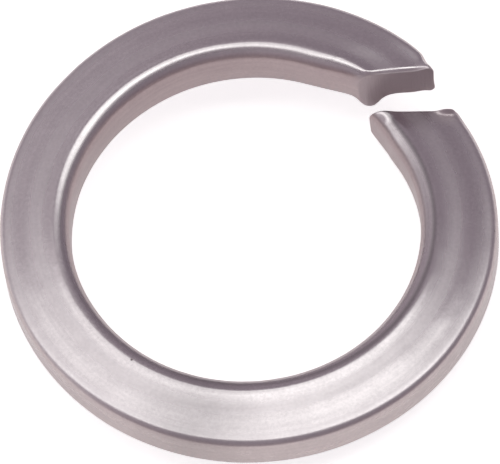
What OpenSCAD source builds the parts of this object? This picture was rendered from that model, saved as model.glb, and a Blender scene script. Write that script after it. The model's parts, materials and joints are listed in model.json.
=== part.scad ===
// Spring lock washer, split and sprung open.
//
// One turn of steel wire is coiled on edge, sheared across at a slant and set so that its
// two ends stand at different heights. Coiling squeezes the wire, so its section is a rounded
// keystone: taller along the bore than along the rim. The turn is left-handed, and going
// anticlockwise from the split the ring runs downhill, from the high end to the low end.
// The bore runs along Z, and the lowest point of the ring lies on Z = 0.

/* [Ring] */
// Diameter of the bore
bore_d = 12.5; // [10:0.1:15]
// Width of the wire, from the bore to the rim
wire_w = 2.65; // [2:0.05:3.5]
// Height of the wire along the bore
bore_side_h = 2.25; // [1.8:0.05:3]
// Height of the wire along the rim
rim_side_h = 1.5; // [1.2:0.05:3]
// Radius of the two corners along the bore
bore_round = 0.7; // [0.1:0.05:0.9]
// Radius of the two corners along the rim
rim_round = 0.5; // [0.1:0.05:0.9]

/* [Spring] */
// Drop of the wire over the whole turn
coil_drop = 1.85; // [0.5:0.05:3]

/* [Split] */
// Where the split crosses the middle of the wire, anticlockwise from X
split_angle = 35.5; // [10:0.5:80]
// Slant of the split, away from straight across the wire
split_slant = 35.5; // [0:0.5:45]
// Width of the split, where it opens into the bore
split_gap = 0.56; // [0.2:0.02:1.2]
// Turn of the low end's face away from the high end's, which widens the split towards the rim
split_flare = 5; // [0:1:10]

/* [Sheared ends] */
// Radius of the edge that the shear rolled over
shear_round = 0.3; // [0.05:0.05:0.5]
// Inset of the high end's face from the bore
high_inset = 0.4; // [0:0.05:0.6]
// Inset of the low end's face from the bore
low_inset = 0.25; // [0:0.05:0.6]
// Inset of the high end's face from the rim
rim_inset = 0.15; // [0:0.05:0.4]
// Length of wire over which the ends narrow to these insets
inset_run = 1.5; // [0.5:0.1:3]
// Height of the burr that hangs from the high end, beside the bore
burr_h = 0.38; // [0:0.02:0.5]
// Width of that burr
burr_w = 1.3; // [0.6:0.1:2]
// Height of the tip raised on the low end, beside the rim
tip_h = 0.2; // [0:0.02:0.4]
// Width of that tip
tip_w = 0.7; // [0.4:0.1:2]
// Length of the burr and of the tip along the wire
burr_run = 0.7; // [0.3:0.05:1.5]

/* [Smoothness] */
// Stations along the turn, between its ends
turn_steps = 80; // [40:10:120]
// Steps round each corner of the wire
corner_steps = 5; // [3:1:6]
// Steps across each contact face of the wire
face_steps = 4; // [2:1:6]
// Stations through the shape of each end
end_steps = 5; // [3:1:8]

/* [Hidden] */

steel = [0.62, 0.57, 0.59];
bore_r = bore_d / 2;
rim_r = bore_r + wire_w;
mid_r = bore_r + wire_w / 2;
mid_h = (bore_side_h + rim_side_h) / 2;
skin = 0.04; // the swept wire stands this far through the bore and the rim, which then trim it
trim_fn = 180;

// The keystone's corners, from the low bore side round to the high bore side, and their radii.
// No corner takes more than its share of the wall that it stands on.
wall_share = 0.4;
keystone = [
    [0, -bore_side_h / 2],
    [wire_w, -rim_side_h / 2],
    [wire_w, rim_side_h / 2],
    [0, bore_side_h / 2]
];
bore_corner_r = min(bore_round, wall_share * bore_side_h);
rim_corner_r = min(rim_round, wall_share * rim_side_h);
corner_radii = [bore_corner_r, rim_corner_r, rim_corner_r, bore_corner_r];

// Arc that rounds the corner b of the path a, b, c to the radius r
function unit(v) = v / norm(v);
function heading(v) = atan2(v[1], v[0]);
function turn_between(from, to) = (to - from + 540) % 360 - 180;
function rounded_corner(a, b, c, r) =
    let (
        to_a = unit(a - b),
        to_c = unit(c - b),
        half = acos(to_a * to_c) / 2,
        centre = b + unit(to_a + to_c) * r / sin(half),
        from = heading(b + to_a * r / tan(half) - centre),
        to = heading(b + to_c * r / tan(half) - centre)
    )
    [for (k = [0 : corner_steps])
        let (at = from + turn_between(from, to) * k / corner_steps)
        centre + r * [cos(at), sin(at)]];

function steps_between(a, b) = [for (k = [1 : face_steps - 1]) a + (b - a) * k / face_steps];

corner_arcs = [
    for (k = [0 : 3])
        rounded_corner(keystone[(k + 3) % 4], keystone[k], keystone[(k + 1) % 4], corner_radii[k])
];
rounded_keystone = concat(
    corner_arcs[0],
    steps_between(corner_arcs[0][corner_steps], corner_arcs[1][0]),
    corner_arcs[1],
    corner_arcs[2],
    steps_between(corner_arcs[2][corner_steps], corner_arcs[3][0]),
    corner_arcs[3]
);

// The section as it is swept: [distance from the axis, height over the middle of the wire]
section = [
    for (p = rounded_keystone) [
        bore_r + (p[0] < skin / 4 ? -skin : p[0] > wire_w - skin / 4 ? wire_w + skin : p[0]),
        p[1]
    ]
];

// Both faces of the split are upright planes: each has its heading, and its distance from the
// axis. side is 1 at the high end and -1 at the low end, whose face is turned by the flare
// about the point where it meets the bore.
split_heading = split_angle - split_slant;
split_reach = mid_r * sin(split_slant);
low_corner = asin((split_reach - split_gap / 2) / bore_r);
function face_heading(side) = side > 0 ? split_heading : split_heading - split_flare;
function face_reach(side) =
    side > 0 ? split_reach + split_gap / 2 : bore_r * sin(low_corner + split_flare);

// Angle round the ring at which a face crosses the radius r
function face_angle(r, side) = face_heading(side) + asin(face_reach(side) / r);

// Angle at the share s of the way from the high end to the low end, along the radius r
function angle_at(r, s) = (1 - s) * face_angle(r, 1) + s * (360 + face_angle(r, -1));
function wire_height(angle) = coil_drop * (0.5 - (angle - split_angle) / 360);

// Distances along the wire at which the shape of an end changes: first close together, round
// the rolled edge, and then over the rest of the end. The wire as swept runs on past each face
// into the split, which trims it, and comes to a blunt point there.
wire_len = mid_r * (angle_at(mid_r, 1) - angle_at(mid_r, 0)) * PI / 180;
overrun = split_gap / 6; // of the last whole section
point_run = split_gap / 3; // and of the point
end_run = max(shear_round, inset_run, burr_run);
end_stations = concat(
    [-overrun],
    [for (k = [1 : end_steps - 1]) shear_round * (1 - cos(90 * k / end_steps))],
    [for (k = [0 : end_steps - 1]) shear_round + (end_run - shear_round) * k / end_steps]
);
stations = concat(
    [for (d = end_stations) d / wire_len],
    [for (k = [0 : turn_steps]) (end_run + (wire_len - 2 * end_run) * k / turn_steps) / wire_len],
    [for (k = [len(end_stations) - 1 : -1 : 0]) 1 - end_stations[k] / wire_len]
);

// A soft fade, from 1 at no distance to 0 at the distance run
function fade(d, run) = d >= run ? 0 : (1 - d / run) ^ 2 * (1 + 2 * d / run);

// The rolled edge squashes one half of the wire's height, by this share, at the distance d
function rolled(d) =
    d >= shear_round ? 0
    : (shear_round - sqrt(shear_round ^ 2 - (shear_round - d) ^ 2)) * 2 / mid_h;
// A burr h high and w wide stands beside a wall. It is measured at the distance d from its
// face, along the wire, and at the distance inward from its wall.
function burr(h, w, d, inward) = h * fade(d, burr_run) * fade(abs(inward - w / 2), w / 2);

// Height of a point of the section, with the shapes of both ends. The high end rolls over at
// the top and has its burr below. The low end is sheared the other way up.
function shaped_height(p, s) =
    let (
        from_high = max(0, s * wire_len),
        from_low = max(0, (1 - s) * wire_len),
        share = p[1] * 2 / mid_h
    )
    p[1] > 0
        ? p[1] * (1 - rolled(from_high)) + share * burr(tip_h, tip_w, from_low, rim_r - p[0])
        : p[1] * (1 - rolled(from_low)) + share * burr(burr_h, burr_w, from_high, p[0] - bore_r);

// Its distance from the axis, with the wire narrowed towards both ends
function shaped_radius(p, s) =
    let (
        high = fade(max(0, s * wire_len), inset_run),
        low = fade(max(0, (1 - s) * wire_len), inset_run),
        outward = (p[0] - bore_r) / wire_w
    )
    p[0] + (high * high_inset + low * low_inset) * (1 - outward) - high * rim_inset * outward;

function swept(p, s) =
    let (r = shaped_radius(p, s), angle = angle_at(r, s))
    [r * cos(angle), r * sin(angle), wire_height(angle) + shaped_height(p, s)];

// The turn of wire, not yet trimmed to the bore, the rim and the split
turn_points = [for (s = stations) for (p = section) swept(p, s)];
low_z = min([for (p = turn_points) p[2]]);
high_z = max([for (p = turn_points) p[2]]);
trim_margin = 1;
trim_h = high_z - low_z + 2 * trim_margin;

module turn_of_wire() {
    n = len(section);
    last = len(turn_points) - n;
    tips = [for (s = [-point_run / wire_len, 1 + point_run / wire_len]) swept([mid_r, 0], s)];
    high_tip = len(turn_points);
    low_tip = high_tip + 1;
    polyhedron(
        points = concat(turn_points, tips),
        faces = [
            for (k = [0 : n - 1])
                let (l = (k + 1) % n)
                each concat(
                    [[k, l, high_tip], [last + l, last + k, low_tip]],
                    [for (i = [0 : n : last - 1]) each
                        [[i + k, i + n + k, i + n + l], [i + k, i + n + l, i + l]]]
                )
        ]
    );
}

// A plain round tube, from the bore to the rim
module bore_and_rim() {
    difference() {
        cylinder(h = trim_h, r = rim_r, $fn = trim_fn);
        translate([0, 0, -trim_margin])
            cylinder(h = trim_h + 2 * trim_margin, r = bore_r, $fn = trim_fn);
    }
}

// The space between the two faces, from inside the bore to outside the rim
function face_point(side, r) =
    let (angle = face_angle(r, side))
    r * [cos(angle), sin(angle)];

module split_space() {
    inside = bore_r - split_gap / 2;
    outside = rim_r + trim_margin;
    outline = [
        face_point(1, inside),
        face_point(1, outside),
        face_point(-1, outside),
        face_point(-1, inside)
    ];
    translate([0, 0, -trim_margin])
        linear_extrude(trim_h + 2 * trim_margin)
            polygon(outline);
}

module washer() {
    color(steel)
        intersection() {
            translate([0, 0, -trim_margin])
                difference() {
                    bore_and_rim();
                    split_space();
                }
            translate([0, 0, -low_z])
                turn_of_wire();
        }
}

washer();
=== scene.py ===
import json
import math

import bpy
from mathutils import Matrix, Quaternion, Vector


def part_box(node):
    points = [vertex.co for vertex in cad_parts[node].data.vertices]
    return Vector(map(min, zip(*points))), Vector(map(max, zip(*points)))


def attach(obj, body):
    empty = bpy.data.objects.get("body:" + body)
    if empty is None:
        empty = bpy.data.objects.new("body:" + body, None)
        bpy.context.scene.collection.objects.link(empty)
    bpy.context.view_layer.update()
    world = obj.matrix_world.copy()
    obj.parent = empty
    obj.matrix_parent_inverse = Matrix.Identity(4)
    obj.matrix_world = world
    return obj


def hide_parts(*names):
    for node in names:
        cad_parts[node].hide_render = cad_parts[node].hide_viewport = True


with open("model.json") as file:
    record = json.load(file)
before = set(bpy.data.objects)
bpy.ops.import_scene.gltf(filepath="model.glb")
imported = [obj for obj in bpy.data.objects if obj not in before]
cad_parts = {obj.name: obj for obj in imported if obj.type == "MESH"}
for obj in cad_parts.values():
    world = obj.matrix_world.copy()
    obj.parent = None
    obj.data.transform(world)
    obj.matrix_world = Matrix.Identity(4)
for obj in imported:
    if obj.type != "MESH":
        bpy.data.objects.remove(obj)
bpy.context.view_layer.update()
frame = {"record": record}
lowCorner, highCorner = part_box("washer")
boreMount = next(m for m in frame["record"]["mounts"] if m["name"] == "bore")
mm = 0.001
print("frame loaded")

# The ring is modelled in millimetres, lying flat round the origin. It is cut open, its ends are
# shaped, it is sprung open and refined, and then it is brought to its place.
ring = {
    "boreRadius": boreMount["dims"]["r_mm"],
    "rimRadius": highCorner.x / mm,
    "boreHeight": 2.25,       # of the wire, along the bore
    "rimHeight": 1.5,         # and along the rim
    "boreRound": 0.5,         # radii of the wire's corners
    "rimRound": 0.32,
    "turnSteps": 180,
    "cornerSegments": 6,
    "flatCuts": 9,            # extra loops across the two contact faces
    "wallCuts": 4,            # and up the two walls
    "boreCrown": 0.05,        # how far the bore wall bulges, between its two corners
    "rimShift": 0.13,         # along X: the wire is a little wider on that side
    "drop": 1.85,             # of the wire over a full turn, once it is sprung open
    "swells": [               # low ones, all along both contact faces
        {"radius": 6.9, "height": 0.02, "reach": 0.26},
        {"radius": 8.0, "height": 0.008, "reach": 0.35},
    ],
}
wireWidth = ring["rimRadius"] - ring["boreRadius"]
midRadius = (ring["boreRadius"] + ring["rimRadius"]) / 2
onLine = 0.01   # points this near to a radius or a height lie on it
onPlane = 1e-3  # and this near to a face of the split


def deselectAll():
    if bpy.context.object and bpy.context.object.mode != "OBJECT":
        bpy.ops.object.mode_set(mode="OBJECT")
    bpy.ops.object.select_all(action="DESELECT")


def makeActive(obj):
    deselectAll()
    obj.select_set(True)
    bpy.context.view_layer.objects.active = obj


def pick(obj, mode, test):
    # selects the points, edges or faces whose corner points pass the test, and stays in edit mode
    makeActive(obj)
    bpy.ops.object.mode_set(mode="EDIT")
    bpy.ops.mesh.select_mode(type=mode)
    bpy.ops.mesh.select_all(action="DESELECT")
    bpy.ops.object.mode_set(mode="OBJECT")
    mesh = obj.data
    items = {"VERT": mesh.vertices, "EDGE": mesh.edges, "FACE": mesh.polygons}[mode]
    for item in items:
        corners = [item.index] if mode == "VERT" else item.vertices
        if test([mesh.vertices[i].co for i in corners]):
            item.select = True
    bpy.ops.object.mode_set(mode="EDIT")


def soft(reach, falloff="SMOOTH"):
    # what is moved drags the surface along, less and less as far as the reach
    return {
        "use_proportional_edit": True,
        "use_proportional_connected": True,
        "proportional_edit_falloff": falloff,
        "proportional_size": reach,
    }


def applyModifier(obj, modifier):
    makeActive(obj)
    bpy.ops.object.modifier_apply(modifier=modifier.name)


def makeFlatRing():
    deselectAll()
    bore, rim = ring["boreRadius"] + ring["boreCrown"], ring["rimRadius"]
    rise = (ring["boreHeight"] - ring["rimHeight"]) / 2
    bpy.ops.mesh.primitive_circle_add(
        vertices=ring["turnSteps"],
        radius=rim,
        fill_type="NOTHING",
        location=(0, 0, -ring["rimHeight"] / 2),
    )
    obj = bpy.context.object
    obj.name = "lockWasher"
    bpy.ops.object.transform_apply(location=True, rotation=True, scale=True)
    bpy.ops.object.mode_set(mode="EDIT")
    bpy.ops.mesh.select_all(action="SELECT")
    bpy.ops.mesh.extrude_region_move()
    bpy.ops.transform.resize(value=(bore / rim, bore / rim, 1))
    bpy.ops.transform.translate(value=(0, 0, -rise))
    bpy.ops.mesh.extrude_region_move(TRANSFORM_OT_translate={"value": (0, 0, ring["boreHeight"])})
    bpy.ops.mesh.extrude_region_move()
    bpy.ops.transform.resize(value=(rim / bore, rim / bore, 1))
    bpy.ops.transform.translate(value=(0, 0, -rise))
    bpy.ops.mesh.select_mode(type="EDGE")
    bpy.ops.mesh.select_all(action="DESELECT")
    bpy.ops.mesh.select_non_manifold()
    bpy.ops.mesh.bridge_edge_loops()
    lean = math.atan2(rise, rim - bore)
    roundCorners(obj, bore, ring["boreRound"], (math.pi / 2 - lean) / 2)
    roundCorners(obj, rim, ring["rimRound"], (math.pi / 2 + lean) / 2)
    addLoops(obj)
    crownBore(obj, bore)
    raiseSwells(obj)
    shiftRim(obj)
    bpy.ops.mesh.select_all(action="SELECT")
    bpy.ops.mesh.normals_make_consistent(inside=False)
    bpy.ops.object.mode_set(mode="OBJECT")
    return obj


def roundCorners(obj, radius, cornerRadius, halfAngle):
    def onCorner(points):
        level = abs(points[0].z - points[1].z) < onLine
        return level and all(abs(p.xy.length - radius) < onLine for p in points)

    pick(obj, "EDGE", onCorner)
    bpy.ops.mesh.bevel(
        offset=cornerRadius / math.tan(halfAngle),
        segments=ring["cornerSegments"],
        affect="EDGES",
        clamp_overlap=False,
    )


def addLoops(obj):
    # the two contact faces and the two walls are one long quad wide until here
    def across(points):
        return abs(points[0].xy.length - points[1].xy.length) > wireWidth / 3

    def upright(points):
        return points[0].z * points[1].z < 0 and abs(points[0].xy.length - points[1].xy.length) < onLine

    pick(obj, "EDGE", across)
    bpy.ops.mesh.subdivide(number_cuts=ring["flatCuts"])
    pick(obj, "EDGE", upright)
    bpy.ops.mesh.subdivide(number_cuts=ring["wallCuts"])


def crownBore(obj, bore):
    flatHalf = ring["boreHeight"] / 2 - ring["boreRound"]

    def onBoreMiddle(points):
        return abs(points[0].z) < flatHalf / 3 and points[0].xy.length < bore + onLine

    pick(obj, "VERT", onBoreMiddle)
    inward = ring["boreRadius"] / bore
    bpy.ops.transform.resize(value=(inward, inward, 1), **soft(ring["boreHeight"] / 2))


def raiseSwells(obj):
    # coiling squeezes the metal up beside the bore, and the rolls leave a second, fainter swell
    for swell in ring["swells"]:
        radii = [v.co.xy.length for v in obj.data.vertices]
        nearest = min(radii, key=lambda radius: abs(radius - swell["radius"]))
        for side in (1, -1):

            def onSwell(points):
                return points[0].z * side > 0 and abs(points[0].xy.length - nearest) < onLine

            pick(obj, "VERT", onSwell)
            bpy.ops.transform.translate(value=(0, 0, swell["height"] * side), **soft(swell["reach"]))


def shiftRim(obj):
    pick(obj, "VERT", lambda points: points[0].xy.length > ring["rimRadius"] - onLine)
    bpy.ops.transform.translate(value=(ring["rimShift"], 0, 0), **soft(wireWidth, "LINEAR"))


# The two faces of the split are upright planes. Each goes through a corner at the bore, and
# depth is measured from it into the wire: side 1 is the high end, and side -1 the low end.
split = {
    "angle": 35.5,            # where the split crosses the middle of the wire, in degrees
    "slant": 35.5,            # away from straight across the wire
    "flare": 5,               # the low end's face is turned further, so the split widens outwards
    "gap": 0.56,              # at the bore
    "endZone": 0.8,           # length of wire that is shaped behind each sheared face
    "zoneCuts": 11,
    "edgeRadius": 0.04,
    "edgeSegments": 3,
    "faceRing": 0.1,          # width of the ring of quads inside each face's outline
    "faceSpan": 8,            # rows of the grid that fills the rest
}
splitTurn = split["angle"] - split["slant"]
splitReach = midRadius * math.sin(math.radians(split["slant"]))


def flatVector(degrees):
    return Vector((math.cos(math.radians(degrees)), math.sin(math.radians(degrees)), 0))


splitLine = flatVector(splitTurn)
splitNormal = flatVector(splitTurn + 90)


def makeShear(side):
    reach = splitReach + side * split["gap"] / 2
    turn = splitTurn - (split["flare"] if side < 0 else 0)
    corner = splitLine * math.sqrt(ring["boreRadius"] ** 2 - reach ** 2) + splitNormal * reach
    return {"corner": corner, "along": flatVector(turn), "into": flatVector(turn + 90) * side}


shears = {side: makeShear(side) for side in (1, -1)}


def depth(point, side):
    return (point - shears[side]["corner"]).dot(shears[side]["into"])


def nearSplit(points):
    # on the split's side of the ring, and little further from it than the wire is wide
    reach = 1.1 * wireWidth
    return all(p.dot(splitLine) > 0 and abs(p.dot(splitNormal) - splitReach) < reach for p in points)


def onFace(points, side, at=0):
    return nearSplit(points) and all(abs(depth(p, side) - at) < onPlane for p in points)


def cutSplit(obj):
    for side in (1, -1):
        shear = shears[side]

        def inOrBehind(points):
            return nearSplit(points) and max(depth(p, side) for p in points) > -split["gap"] / 4

        for distance in (0, split["endZone"]):
            pick(obj, "FACE", inOrBehind)
            bpy.ops.mesh.bisect(
                plane_co=shear["corner"] + shear["into"] * distance,
                plane_no=shear["into"],
                threshold=onPlane / 10,
            )

    def inSplit(points):
        return nearSplit(points) and all(depth(p, side) < onPlane for p in points for side in (1, -1))

    pick(obj, "FACE", inSplit)
    bpy.ops.mesh.delete(type="FACE")
    for side in (1, -1):
        clearZone(obj, side)
        pick(obj, "EDGE", lambda points: onFace(points, side))
        bpy.ops.mesh.edge_face_add()
    bpy.ops.object.mode_set(mode="OBJECT")


def clearZone(obj, side):
    # leaves one long quad on each strip between a face of the split and the rest of the wire
    lengthwise = math.cos(math.radians(60))  # edges that run this closely along the wire stay

    def crossing(points):
        inside = [depth(p, side) for p in points]
        if not nearSplit(points) or min(inside) < -onPlane or max(inside) > split["endZone"] + onPlane:
            return False
        if onFace(points, side) or onFace(points, side, split["endZone"]):
            return False
        along = (points[1] - points[0]).normalized()
        middle = (points[0] + points[1]) / 2
        turnwise = Vector((-middle.y, middle.x, 0)).normalized()
        return abs(along.dot(turnwise)) < lengthwise

    pick(obj, "EDGE", crossing)
    bpy.ops.mesh.dissolve_edges(use_verts=True)


def easeEdges(obj):
    mesh = obj.data
    weights = mesh.attributes.new("bevel_weight_edge", "FLOAT", "EDGE")
    for edge in mesh.edges:
        ends = [mesh.vertices[i].co for i in edge.vertices]
        if any(onFace(ends, side) for side in (1, -1)):
            weights.data[edge.index].value = 1
    bevel = obj.modifiers.new("easeEdges", "BEVEL")
    bevel.limit_method = "WEIGHT"
    bevel.width = split["edgeRadius"]
    bevel.segments = split["edgeSegments"]
    applyModifier(obj, bevel)


def fillFaces(obj):
    for side in (1, -1):
        pick(obj, "FACE", lambda points: onFace(points, side))
        bpy.ops.mesh.inset(thickness=split["faceRing"])
        bpy.ops.mesh.delete(type="ONLY_FACE")
        bpy.ops.mesh.select_mode(type="EDGE")
        bpy.ops.mesh.select_all(action="DESELECT")
        bpy.ops.mesh.select_non_manifold()
        bpy.ops.mesh.fill_grid(span=split["faceSpan"])
    bpy.ops.mesh.select_all(action="SELECT")
    bpy.ops.mesh.normals_make_consistent(inside=False)
    bpy.ops.object.mode_set(mode="OBJECT")


def addZoneLoops(obj):
    slack = 0.1  # beyond the zone's two ends

    def alongZone(points):
        return nearSplit(points) and any(
            abs(depth(points[0], side) - depth(points[1], side)) > split["endZone"] / 2
            and all(-slack < depth(p, side) < split["endZone"] + slack for p in points)
            for side in (1, -1)
        )

    pick(obj, "EDGE", alongZone)
    bpy.ops.mesh.subdivide(number_cuts=split["zoneCuts"])
    bpy.ops.object.mode_set(mode="OBJECT")


def grip(along, up, pull, reach, falloff="SMOOTH"):
    return {"along": along, "up": up, "pull": pull, "reach": reach, "falloff": falloff}


# What the shear does to the wire beside each face. Places are on the face, along it from its
# corner at the bore and up from mid-height. Each grip takes the points between two places each
# way, and pulls them along the face and up.
endShapes = {
    1: [
        # the high end: its top is rolled over, first the wire and then the edge
        grip(along=(-1, 4), up=(0.35, 2), pull=(0, -0.1), reach=1.3),
        grip(along=(-1, 4), up=(0.35, 2), pull=(0, -0.09), reach=0.17, falloff="SHARP"),
        # the bore wall and the rim are drawn in
        grip(along=(-0.1, 0.1), up=(-0.7, 0.7), pull=(0.5, 0), reach=1.5),
        grip(along=(3.2, 3.65), up=(-0.7, 0.8), pull=(-0.25, 0), reach=1.0),
        # below, the middle is hollow and a burr hangs at the bore
        grip(along=(1.6, 2.0), up=(-2, 0), pull=(0, 0.2), reach=0.8),
        grip(along=(0.7, 1.1), up=(-2, -0.5), pull=(0, -0.38), reach=0.45),
        # the two corners at the rim stand out
        grip(along=(3.15, 3.5), up=(-0.9, -0.4), pull=(0.03, -0.18), reach=0.35),
        grip(along=(3.15, 3.7), up=(0.25, 1.2), pull=(0.02, 0.2), reach=0.6),
    ],
    -1: [
        # the low end: it is rolled over below, and its bore wall is drawn in
        grip(along=(-1, 4), up=(-2, -0.35), pull=(0, 0.15), reach=0.33, falloff="SHARP"),
        grip(along=(-0.1, 0.1), up=(-0.7, 0.7), pull=(0.25, 0), reach=1.6),
        # above, it stands up beside the bore and has a small tip at the rim
        grip(along=(0.3, 0.7), up=(0.6, 2), pull=(-0.05, 0.1), reach=0.5),
        grip(along=(2.76, 3.32), up=(0.3, 2), pull=(0, 0.17), reach=0.14),
    ],
}


def shapeEnds(obj):
    for side, grips in endShapes.items():
        shear = shears[side]
        for held in grips:

            def gripped(points):
                away = points[0] - shear["corner"]
                alongFits = held["along"][0] < away.dot(shear["along"]) < held["along"][1]
                upFits = held["up"][0] < away.z < held["up"][1]
                onEnd = abs(depth(points[0], side)) < split["edgeRadius"] + onLine
                return nearSplit(points) and onEnd and alongFits and upFits

            pick(obj, "VERT", gripped)
            along, up = held["pull"]
            bpy.ops.transform.translate(
                value=shear["along"] * along + Vector((0, 0, up)),
                **soft(held["reach"], held["falloff"]),
            )
            bpy.ops.object.mode_set(mode="OBJECT")


# Where the shear leaves its own look: on both faces, over the high end's rolled edge, and round
# the low end's tip
torn = {
    "overEdge": 0.13,         # how far it fades over the rolled edge
    "tip": (3.05, 0.6),       # along the face and up
    "tipReach": 0.8,
    "tipStrength": 1.6,
}


def clamp(value):
    return min(1, max(0, value))


def tornShare(point):
    if not nearSplit([point]):
        return 0
    if any(onFace([point], side) for side in (1, -1)):
        return 1
    if depth(point, 1) > 0:
        upward = clamp(point.z / (ring["rimHeight"] / 2))
        return upward * clamp(1 - depth(point, 1) / torn["overEdge"])
    along, up = torn["tip"]
    tip = shears[-1]["corner"] + shears[-1]["along"] * along + Vector((0, 0, up))
    return clamp(torn["tipStrength"] * (1 - (point - tip).length / torn["tipReach"]))


def turnAngle(point):
    # grows along the wire, from the high end round to the low end
    angle = math.degrees(math.atan2(point.y, point.x))
    lowEnd = point.dot(splitLine) > 0 and point.dot(splitNormal) < splitReach
    return angle + 360 if lowEnd or angle < 0 else angle


def markWire(obj):
    # where each point lies in the wire, for the drawn grain of the steel, and what the shear tore
    mesh = obj.data
    mesh.attributes.new("alongWire", "FLOAT_VECTOR", "POINT")
    mesh.attributes.new("sheared", "FLOAT", "POINT")
    grain, sheared = mesh.attributes["alongWire"], mesh.attributes["sheared"]
    for vertex in mesh.vertices:
        point = vertex.co
        radius = point.xy.length
        outward = (radius - ring["boreRadius"]) / wireWidth
        unshifted = radius - ring["rimShift"] * outward * point.x / radius
        along = math.radians(turnAngle(point)) * midRadius
        grain.data[vertex.index].vector = (unshifted, point.z, along)
        sheared.data[vertex.index].value = tornShare(point)


def openSpring(obj):
    # lowers the wire evenly along the turn, from the high end round to the low end
    mesh = obj.data
    angles = [turnAngle(v.co) for v in mesh.vertices]
    first, last = min(angles), max(angles)
    turn = obj.vertex_groups.new(name="alongTurn")
    for vertex, angle in zip(mesh.vertices, angles):
        turn.add([vertex.index], (angle - first) / (last - first), "REPLACE")
    drop = obj.modifiers.new("openSpring", "DISPLACE")
    drop.direction = "Z"
    drop.vertex_group = turn.name
    drop.mid_level = 0
    drop.strength = -ring["drop"] * (last - first) / 360
    applyModifier(obj, drop)
    obj.vertex_groups.clear()


finish = {
    "uneven": [               # rolled wire is never quite even: a long unevenness and a short one
        {"size": 2.4, "height": 0.02},
        {"size": 0.7, "height": 0.004},
    ],
    "smoothAngle": 40,        # edges that turn further than this stay crisp
}


def refine(obj):
    smooth = obj.modifiers.new("smooth", "SUBSURF")
    smooth.levels = smooth.render_levels = 1
    applyModifier(obj, smooth)
    for unevenness in finish["uneven"]:
        clouds = bpy.data.textures.new("uneven", "CLOUDS")
        clouds.noise_scale = unevenness["size"]
        displace = obj.modifiers.new("uneven", "DISPLACE")
        displace.texture = clouds
        displace.mid_level = 0.5
        displace.strength = unevenness["height"]
        applyModifier(obj, displace)


def bringToPlace(obj):
    low = min(v.co.z for v in obj.data.vertices)
    makeActive(obj)
    bpy.ops.object.mode_set(mode="EDIT")
    bpy.ops.mesh.select_all(action="SELECT")
    bpy.ops.transform.translate(value=(0, 0, -low))
    bpy.ops.object.mode_set(mode="OBJECT")
    obj.scale = (mm, mm, mm)
    bpy.ops.object.transform_apply(location=True, rotation=True, scale=True)
    bpy.ops.object.shade_smooth_by_angle(angle=math.radians(finish["smoothAngle"]))


washer = makeFlatRing()
print("flat ring made")
cutSplit(washer)
easeEdges(washer)
fillFaces(washer)
addZoneLoops(washer)
print("split cut")
markWire(washer)
shapeEnds(washer)
print("ends shaped")
openSpring(washer)
refine(washer)
bringToPlace(washer)
print("spring opened:", len(washer.data.polygons), "faces")
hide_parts("washer")
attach(washer, "root")

# Lengths are in millimetres. Along the wire, the high end is at about 5 and the low end at 52.
# The tones of the two walls, which are painted shade and reflection, the painted dark track and the
# painted shade patch multiply the steel's own.
steel = {
    "darkTone": (0.53, 0.485, 0.51),
    "lightTone": (0.64, 0.59, 0.615),
    "toneSpan": (0.36, 0.64),         # from dark to light, over what the marks add up to
    "roughness": (0.17, 0.34),
    # the marks in the metal, from the rolls, the drawing die and wear
    "marks": {
        "band": {"width": 0.5, "length": 14.0, "detail": 2.0},
        "streak": {"width": 0.13, "length": 4.0, "detail": 3.0},
        "scratch": {"width": 0.035, "length": 1.6, "detail": 1.0},
        "mottle": {"width": 0.8, "length": 0.8, "detail": 3.0},
        "satin": {"width": 0.11, "length": 0.11, "detail": 1.0},
        "tear": {"width": 0.09, "length": 0.9, "detail": 3.0},  # on the sheared faces
    },
    "toneShares": {"mottle": 0.2, "streak": 0.25, "band": 0.25, "satin": 0.3},
    "heights": {"streak": 0.0006, "scratch": 0.0002, "mottle": 0.002, "tear": 0.012, "pit": -0.02},
    # small pits, one in each cell that isn't bare
    "pits": {"tone": (0.25, 0.21, 0.21), "radius": 0.04, "spacing": 1.5, "bareShare": 0.55},
    # the bore wall is painted darker and browner, painted shade from the shadowed floor it mirrors,
    # and the rim a little warmer, a painted reflection of the floor: each tint is whole up to the
    # first distance from its wall, and gone at the second
    "boreWall": {"tone": (0.74, 0.65, 0.64), "from": 0.05, "to": 0.25},
    "rimWall": {"tone": (0.97, 0.92, 0.885), "from": 0.03, "to": 0.15},
    # a painted dark line of shade and dark reflection beside the bore, which between two places along
    # the wire moves outwards and darkens
    "darkTrack": {"radius": 6.56, "halfWidth": 0.14, "tone": 0.82},
    "trackDrift": {"from": 33.0, "to": 43.0, "outwards": 0.19, "darker": 0.22},
    # and one stretch is darkened by painted shade
    "dullPatch": {"tone": 0.76, "place": (-2.7, -7.6, 2.5), "reach": 3.0},
    # smoother tracks, all along the contact faces: where one is, how far apart they are, how
    # far they waver, and their share in the roughness beside that of the marks
    "burnished": {"radius": 8.07, "apart": 1.18, "waver": 0.4, "share": 0.35, "marksShare": 2.0},
    "sheared": {"tone": (0.46, 0.39, 0.41), "strength": 0.85, "roughness": 0.46},
}
noiseMiddle = 0.5  # what a noise is on average


def newMaterial(name):
    material = bpy.data.materials.new(name)
    material.use_nodes = True
    return material, material.node_tree, material.node_tree.nodes["Principled BSDF"]


def feed(tree, socket, value):
    # a socket takes another node's output or a plain value
    if isinstance(value, bpy.types.NodeSocket):
        tree.links.new(value, socket)
    else:
        socket.default_value = value


def addNode(tree, kind, inputs=(), **settings):
    node = tree.nodes.new("ShaderNode" + kind)
    for setting, value in settings.items():
        setattr(node, setting, value)
    for socket, value in dict(inputs).items():
        feed(tree, node.inputs[socket], value)
    return node


def calc(tree, operation, first, second=0.0, third=0.0):
    return addNode(tree, "Math", {0: first, 1: second, 2: third}, operation=operation).outputs[0]


def weigh(tree, values, shares):
    # adds up the values that have a share, each times its share
    total = 0.0
    for name, share in shares.items():
        total = calc(tree, "MULTIPLY_ADD", values[name], share, total)
    return total


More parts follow.
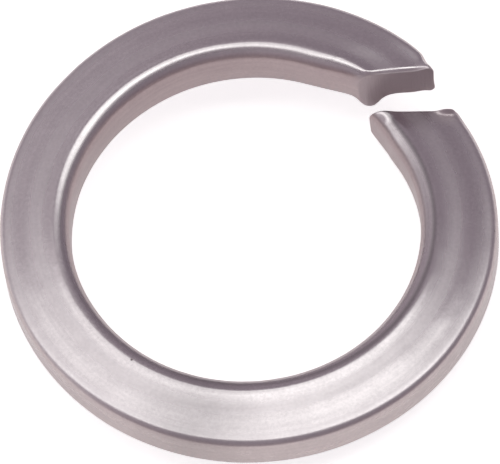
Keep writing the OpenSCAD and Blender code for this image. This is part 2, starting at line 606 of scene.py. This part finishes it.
def span(tree, value, low, high, toLow, toHigh, kind="LINEAR"):
    sockets = {"Value": value, "From Min": low, "From Max": high, "To Min": toLow, "To Max": toHigh}
    return addNode(tree, "MapRange", sockets, interpolation_type=kind).outputs["Result"]


def smoothSpan(tree, value, low, high, toLow=0.0, toHigh=1.0):
    return span(tree, value, low, high, toLow, toHigh, "SMOOTHSTEP")


def tint(tree, color, factor):
    return addNode(tree, "VectorMath", {0: color, 1: factor}, operation="MULTIPLY").outputs[0]


def mixColors(tree, factor, first, second):
    # sockets 6 and 7 are a Mix node's two colours, and output 2 is what they give
    colors = [c if isinstance(c, bpy.types.NodeSocket) else (*c, 1) for c in (first, second)]
    node = addNode(tree, "Mix", {0: factor, 6: colors[0], 7: colors[1]}, data_type="RGBA")
    return node.outputs[2]


def makeMark(tree, vector, mark, unit):
    across, along = unit / mark["width"], unit / mark["length"]
    sized = addNode(tree, "Mapping", {"Vector": vector, "Scale": (across, across, along)}).outputs[0]
    noise = {"Vector": sized, "Scale": 1.0, "Detail": mark["detail"]}
    return addNode(tree, "TexNoise", noise).outputs["Fac"]


def makePits(tree, place):
    pits = steel["pits"]
    sockets = {"Vector": place, "Scale": 1 / mm / pits["spacing"]}
    cells = addNode(tree, "TexVoronoi", sockets, feature="F1").outputs
    reach = pits["radius"] / pits["spacing"]
    hollow = span(tree, cells["Distance"], reach, reach / 2, 0.0, 1.0)
    cellNumber = addNode(tree, "SeparateXYZ", {0: cells["Color"]}).outputs[0]
    return calc(tree, "MULTIPLY", hollow, calc(tree, "GREATER_THAN", cellNumber, pits["bareShare"]))


def makeTone(tree, wire, marks):
    tone = span(tree, weigh(tree, marks, steel["toneShares"]), *steel["toneSpan"], 0.0, 1.0)
    tone = mixColors(tree, tone, steel["darkTone"], steel["lightTone"])

    # painted shade and dark reflection: a dark line along the bore's edge
    darkReflection, drift = steel["darkTrack"], steel["trackDrift"]
    drifted = smoothSpan(tree, wire["along"], drift["from"], drift["to"])
    middle = calc(tree, "MULTIPLY_ADD", drifted, drift["outwards"], darkReflection["radius"])
    away = calc(tree, "ABSOLUTE", calc(tree, "SUBTRACT", wire["radius"], middle))
    darkest = calc(tree, "MULTIPLY_ADD", drifted, -drift["darker"], darkReflection["tone"])
    tone = tint(tree, tone, smoothSpan(tree, away, 0.0, darkReflection["halfWidth"], darkest, 1.0))

    # painted shade, darkening one stretch of the wire
    shadePatch = steel["dullPatch"]
    spot = [c * mm for c in shadePatch["place"]]
    away = addNode(tree, "VectorMath", {0: wire["place"], 1: spot}, operation="DISTANCE").outputs["Value"]
    tone = tint(tree, tone, smoothSpan(tree, away, 0.0, shadePatch["reach"] * mm, shadePatch["tone"], 1.0))

    # painted shade on the bore wall, and a painted reflected tint on the rim
    bore, rim = steel["boreWall"], steel["rimWall"]
    inBore = [ring["boreRadius"] + bore["to"], ring["boreRadius"] + bore["from"]]
    onRim = [ring["rimRadius"] - rim["to"], ring["rimRadius"] - rim["from"]]
    for wall, limits in ((bore, inBore), (rim, onRim)):
        onWall = smoothSpan(tree, wire["radius"], *limits)
        tone = mixColors(tree, onWall, tone, tint(tree, tone, wall["tone"]))

    torn = calc(tree, "MULTIPLY", wire["sheared"], steel["sheared"]["strength"])
    tone = mixColors(tree, torn, tone, steel["sheared"]["tone"])
    return mixColors(tree, marks["pit"], tone, steel["pits"]["tone"])


def makeRoughness(tree, wire, marks):
    tracks = steel["burnished"]
    wavering = calc(tree, "SUBTRACT", marks["band"], noiseMiddle)
    wave = calc(tree, "MULTIPLY_ADD", wavering, tracks["waver"], wire["radius"])
    wave = calc(tree, "SUBTRACT", wave, tracks["radius"])
    wave = calc(tree, "COSINE", calc(tree, "MULTIPLY", wave, 2 * math.pi / tracks["apart"]))
    rough = calc(tree, "MULTIPLY_ADD", wave, -tracks["share"], noiseMiddle)
    # all but the finest marks show here too: the darker they are, the rougher
    shares = {name: share for name, share in steel["toneShares"].items() if name != "satin"}
    darker = calc(tree, "SUBTRACT", noiseMiddle * sum(shares.values()), weigh(tree, marks, shares))
    rough = calc(tree, "MULTIPLY_ADD", darker, tracks["marksShare"], rough)
    rough = span(tree, rough, 0.0, 1.0, *steel["roughness"])
    sockets = {"Factor": wire["sheared"], "A": rough, "B": steel["sheared"]["roughness"]}
    return addNode(tree, "Mix", sockets).outputs["Result"]


def makeSteel():
    material, tree, shader = newMaterial("satinSteel")
    grain = addNode(tree, "Attribute", attribute_name="alongWire").outputs["Vector"]
    inWire = addNode(tree, "SeparateXYZ", {0: grain}).outputs
    place = addNode(tree, "TexCoord").outputs["Object"]
    sheared = addNode(tree, "Attribute", attribute_name="sheared").outputs["Fac"]
    wire = {"radius": inWire["X"], "along": inWire["Z"], "place": place, "sheared": sheared}

    marks = {}
    for name, mark in steel["marks"].items():
        drawn = name in ("band", "streak", "scratch")
        marks[name] = makeMark(tree, grain if drawn else place, mark, 1 if drawn else 1 / mm)
    marks["tear"] = calc(tree, "MULTIPLY", marks["tear"], sheared)
    marks["pit"] = makePits(tree, place)

    height = weigh(tree, marks, steel["heights"])
    bump = addNode(tree, "Bump", {"Height": height, "Strength": 1.0, "Distance": mm})
    feed(tree, shader.inputs["Normal"], bump.outputs[0])
    feed(tree, shader.inputs["Base Color"], makeTone(tree, wire, marks))
    feed(tree, shader.inputs["Roughness"], makeRoughness(tree, wire, marks))
    shader.inputs["Metallic"].default_value = 1
    return material


washer.data.materials.append(makeSteel())
print("steel made")

studio = {
    "floorSize": 2.0,
    "floorTone": (0.86, 0.84, 0.835),
    "floorRoughness": 0.9,
    "floorGlow": (0.64, 0.32),          # as the camera sees the floor, and as the metal does
    "rightTone": (0.32, 0.275, 0.31),   # of the room, to the right of the camera
    "leftTone": (0.44, 0.385, 0.42),    # and to its left
    "toneReach": 0.4,                   # how far to either side of the middle the two blend
    "lampTone": (0.945, 1.0, 0.935),
    # five panels, four overhead and one at the left: the glow is that of the panel's face,
    # whatever its size
    "lamps": {
        "overheadStrip": {"place": (-0.42, 0.06, 0.6), "tilt": 0, "size": (1.85, 0.33), "glow": 1.0},
        "overheadEnd": {"place": (0.36, 0.02, 0.58), "tilt": 0, "size": (0.6, 0.42), "glow": 0.45},
        "overheadLine": {"place": (-0.3, -0.03, 0.59), "tilt": 0, "size": (1.6, 0.12), "glow": 0.8},
        "backLeft": {"place": (-0.45, 0.44, 0.6), "tilt": 0, "size": (0.7, 0.4), "glow": 0.13},
        "leftPanel": {"place": (-1.2, 0.2, 0.2), "tilt": -85, "size": (0.8, 1.6), "glow": 0.25},
    },
}
shot = {
    "elevation": 61.40,
    "roll": -7.43,
    "lens": 465.4,
    "sensor": 36,             # its width, in millimetres as the lens is
    "distance": 26.0,         # in rim radii, as are the two that follow
    "aim": (0.0164, -0.0066),
    "clipStart": 0.1,
}


def makeFloor():
    bpy.ops.mesh.primitive_plane_add(size=studio["floorSize"], location=(0, 0, 0))
    floor = bpy.context.object
    floor.name = "floor"
    material, tree, shader = newMaterial("paleFloor")
    shader.inputs["Base Color"].default_value = (*studio["floorTone"], 1)
    shader.inputs["Roughness"].default_value = studio["floorRoughness"]
    shader.inputs["Emission Color"].default_value = (1, 1, 1, 1)
    rays = addNode(tree, "LightPath").outputs
    seen, mirrored = studio["floorGlow"]
    glow = calc(tree, "MULTIPLY", rays["Is Camera Ray"], seen)
    glow = calc(tree, "MULTIPLY_ADD", rays["Is Glossy Ray"], mirrored, glow)
    feed(tree, shader.inputs["Emission Strength"], glow)
    floor.data.materials.append(material)


def makeWorld():
    world = bpy.data.worlds.new("studio")
    bpy.context.scene.world = world
    world.use_nodes = True
    tree = world.node_tree
    tree.nodes.clear()
    direction = addNode(tree, "TexCoord").outputs["Generated"]
    sideways = addNode(tree, "SeparateXYZ", {0: direction}).outputs["X"]
    rightward = smoothSpan(tree, sideways, -studio["toneReach"], studio["toneReach"])
    left, right, white = [
        addNode(tree, "Background", {"Color": (*tone, 1)}).outputs[0]
        for tone in (studio["leftTone"], studio["rightTone"], (1, 1, 1))
    ]
    room = addNode(tree, "MixShader", {0: rightward, 1: left, 2: right}).outputs[0]
    seen = addNode(tree, "LightPath").outputs["Is Camera Ray"]
    surface = addNode(tree, "MixShader", {0: seen, 1: room, 2: white}).outputs[0]
    addNode(tree, "OutputWorld", {"Surface": surface})


def makeLamp(name, lamp):
    data = bpy.data.lights.new(name, "AREA")
    data.shape = "RECTANGLE"
    data.size, data.size_y = lamp["size"]
    data.energy = lamp["glow"] * math.pi * data.size * data.size_y
    data.color = studio["lampTone"]
    obj = bpy.data.objects.new(name, data)
    bpy.context.scene.collection.objects.link(obj)
    obj.location = lamp["place"]
    obj.rotation_euler = (0, math.radians(lamp["tilt"]), 0)


def makeCamera():
    radius = highCorner.x
    centre = Vector((0, 0, (lowCorner.z + highCorner.z) / 2))
    lift = math.radians(shot["elevation"])
    eye = centre + Vector((0, -math.cos(lift), math.sin(lift))) * shot["distance"] * radius
    aim = centre + Vector((*shot["aim"], 0)) * radius
    roll = Quaternion((0, 0, 1), math.radians(shot["roll"]))
    camera = bpy.data.objects.new("camera", bpy.data.cameras.new("camera"))
    bpy.context.scene.collection.objects.link(camera)
    camera.location = eye
    camera.rotation_mode = "QUATERNION"
    camera.rotation_quaternion = (eye - aim).to_track_quat("Z", "Y") @ roll
    camera.data.lens = shot["lens"]
    camera.data.sensor_width = shot["sensor"]
    camera.data.clip_start = shot["clipStart"] * radius
    bpy.context.scene.camera = camera


makeFloor()
makeWorld()
for name, lamp in studio["lamps"].items():
    makeLamp(name, lamp)
makeCamera()
scene = bpy.context.scene
scene.view_settings.view_transform = "Standard"
print("studio made")
